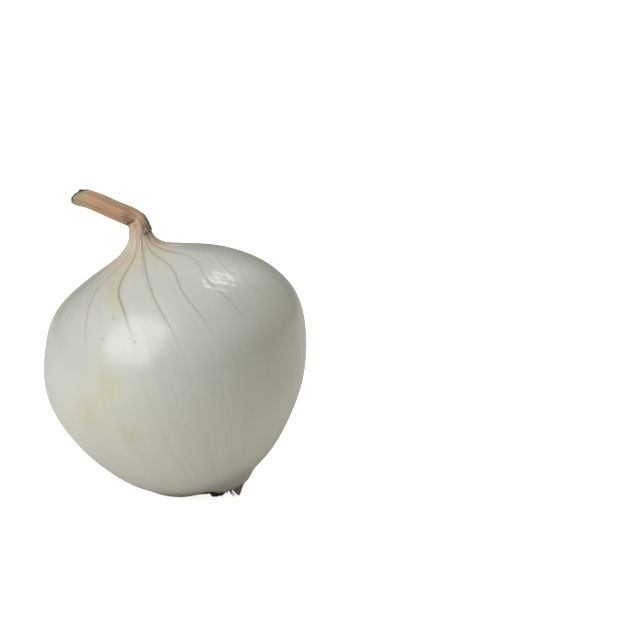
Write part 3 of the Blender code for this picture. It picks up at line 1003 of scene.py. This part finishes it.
def flap_material():
    made, nodes, shader = new_material("dry_skin")
    place = nodes.add("ShaderNodeTexCoord", out="Object")
    across = nodes.attribute("across")
    down = nodes.attribute("down")
    stretched = nodes.add("ShaderNodeCombineXYZ", {0: nodes.times(across, 9.0), 1: down})
    fibres = nodes.noise(stretched, 1.5, 3.0, 0.6)
    grit = nodes.noise(place, 1800.0, 3.0, 0.6)
    color = nodes.mix(nodes.step(fibres, 0.35, 0.65), (0.470, 0.395, 0.310), (0.330, 0.270, 0.205))
    corner = nodes.times(nodes.step(down, 0.32, 0.10), nodes.step(across, 0.25, 0.60))
    corner = nodes.times(corner, nodes.step(fibres, 0.30, 0.50))
    color = nodes.mix(corner, color, (0.040, 0.026, 0.020))
    nodes.put(shader.inputs["Base Color"], color)
    nodes.put(shader.inputs["Roughness"], nodes.step(grit, 0.3, 0.7, 0.6, 0.8))
    nodes.put(shader.inputs["Normal"], bump(nodes, fibres, 0.5, 0.15 * MM))
    return made


# ---------------------------------------------------------------- stage


FLOOR_COLOR = (0.86, 0.85, 0.83, 1)
FLOOR_GLOW = 0.88
WORLD_STRENGTH = 0.09


def build_floor():
    work = bmesh.new()
    bmesh.ops.create_grid(work, x_segments=1, y_segments=1, size=6)
    mesh = bpy.data.meshes.new("floor")
    work.to_mesh(mesh)
    work.free()
    floor = bpy.data.objects.new("floor", mesh)
    bpy.context.scene.collection.objects.link(floor)
    look, nodes, shader = new_material("pale_floor")
    shader.inputs["Base Color"].default_value = FLOOR_COLOR
    shader.inputs["Roughness"].default_value = 0.9
    shader.inputs["Specular IOR Level"].default_value = 0.1
    # The floor is lit up for the camera alone, so that it is white without brightening the onion.
    shader.inputs["Emission Color"].default_value = (1, 1, 1, 1)
    seen = nodes.add("ShaderNodeLightPath", out="Is Camera Ray")
    nodes.put(shader.inputs["Emission Strength"], nodes.times(seen, FLOOR_GLOW))
    mesh.materials.append(look)


def area_light(name, azimuth, elevation, distance, size, power, color=(1, 1, 1), gloss=True):
    """A rectangular soft light aimed at the bulb; azimuth 0 is the camera's side, positive to the right."""
    aim = Vector((0, 0, BELLY_HEIGHT))
    around, up = radians(azimuth), radians(elevation)
    way = Vector((sin(around) * cos(up), -cos(around) * cos(up), sin(up)))
    data = bpy.data.lights.new(name, "AREA")
    data.shape = "RECTANGLE"
    data.size, data.size_y = size
    data.energy = power
    data.color = color
    light = bpy.data.objects.new(name, data)
    light.location = aim + way * distance
    light.rotation_euler = way.to_track_quat("Z", "Y").to_euler()
    light.visible_glossy = gloss
    bpy.context.scene.collection.objects.link(light)


def light_scene():
    area_light("key_softbox", -48, 41, 0.8, (0.60, 0.68), 3.95, (1.0, 0.985, 0.955))
    area_light("back_light", 155, 56, 0.8, (0.16, 0.22), 0.5)
    area_light("wide_back_light", 175, 40, 0.9, (0.90, 0.50), 0.5)
    area_light("low_fill", -38, 4, 0.9, (0.70, 0.12), 1.0, gloss=False)
    area_light("right_fill", 112, 12, 0.9, (0.50, 0.40), 1.4, (1.0, 0.84, 0.58), gloss=False)
    area_light("top_fill", 0, 88, 0.9, (0.60, 0.60), 2.0, gloss=False)
    world = bpy.data.worlds.new("studio")
    bpy.context.scene.world = world
    world.use_nodes = True
    nodes = Nodes(world.node_tree)
    sky = world.node_tree.nodes["Background"]
    sky.inputs["Color"].default_value = (1, 1, 1, 1)
    seen = nodes.add("ShaderNodeLightPath", out="Is Camera Ray")
    nodes.put(sky.inputs["Strength"], nodes.step(seen, 0, 1, WORLD_STRENGTH, 1.0))
    bpy.context.scene.view_settings.view_transform = "Standard"


CAMERA_ELEVATION = radians(18)
CAMERA_DISTANCE = 0.9
FRAME_WIDTH = 0.20554
# What the camera looks at, from the root plate's middle and across its own view.
AIM_RIGHT = 29.26 * MM
AIM_UP = 53.51 * MM


def build_camera():
    """The camera looks a little down from the front, with the onion left of the middle of its view."""
    right = Vector((1, 0, 0))
    up = Vector((0, sin(CAMERA_ELEVATION), cos(CAMERA_ELEVATION)))
    toward = Vector((0, -cos(CAMERA_ELEVATION), sin(CAMERA_ELEVATION)))
    aim = root_middle() + right * AIM_RIGHT + up * AIM_UP
    data = bpy.data.cameras.new("camera")
    data.sensor_width = 36
    data.lens = data.sensor_width * CAMERA_DISTANCE / FRAME_WIDTH
    data.clip_start = 0.01
    camera = bpy.data.objects.new("camera", data)
    camera.location = aim + toward * CAMERA_DISTANCE
    camera.rotation_euler = toward.to_track_quat("Z", "Y").to_euler()
    bpy.context.scene.collection.objects.link(camera)
    bpy.context.scene.camera = camera


def build_onion():
    columns = COLUMNS_PER_VEIN * len(vein_table())
    skin = tube("bulb_skin", columns, BULB_ROWS, bulb_shape)
    finish_piece(skin, skin_material(), "white_skin", "bulb")
    stalk = tube("stalk", STALK_COLUMNS, STALK_ROWS, stalk_shape)
    finish_piece(stalk, stalk_material(), "dry_stalk", "dry_stalk")
    sheath = tube("sheath", SHEATH_COLUMNS, SHEATH_ROWS, sheath_shape)
    finish_piece(sheath, sheath_material(), "neck_sheath", "neck_sheath")
    plate = tube("root_disc", PLATE_COLUMNS, PLATE_ROWS, plate_shape)
    finish_piece(plate, plate_material(), "root_plate", "root_plate")
    roots = [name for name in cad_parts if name.startswith("root_") and name != "root_plate"]
    finish_piece(build_roots(), root_material(), "rootlet", *sorted(roots))
    finish_piece(build_flap(), flap_material(), "skin_flap", "skin_flap")


build_camera()
build_onion()
build_floor()
light_scene()
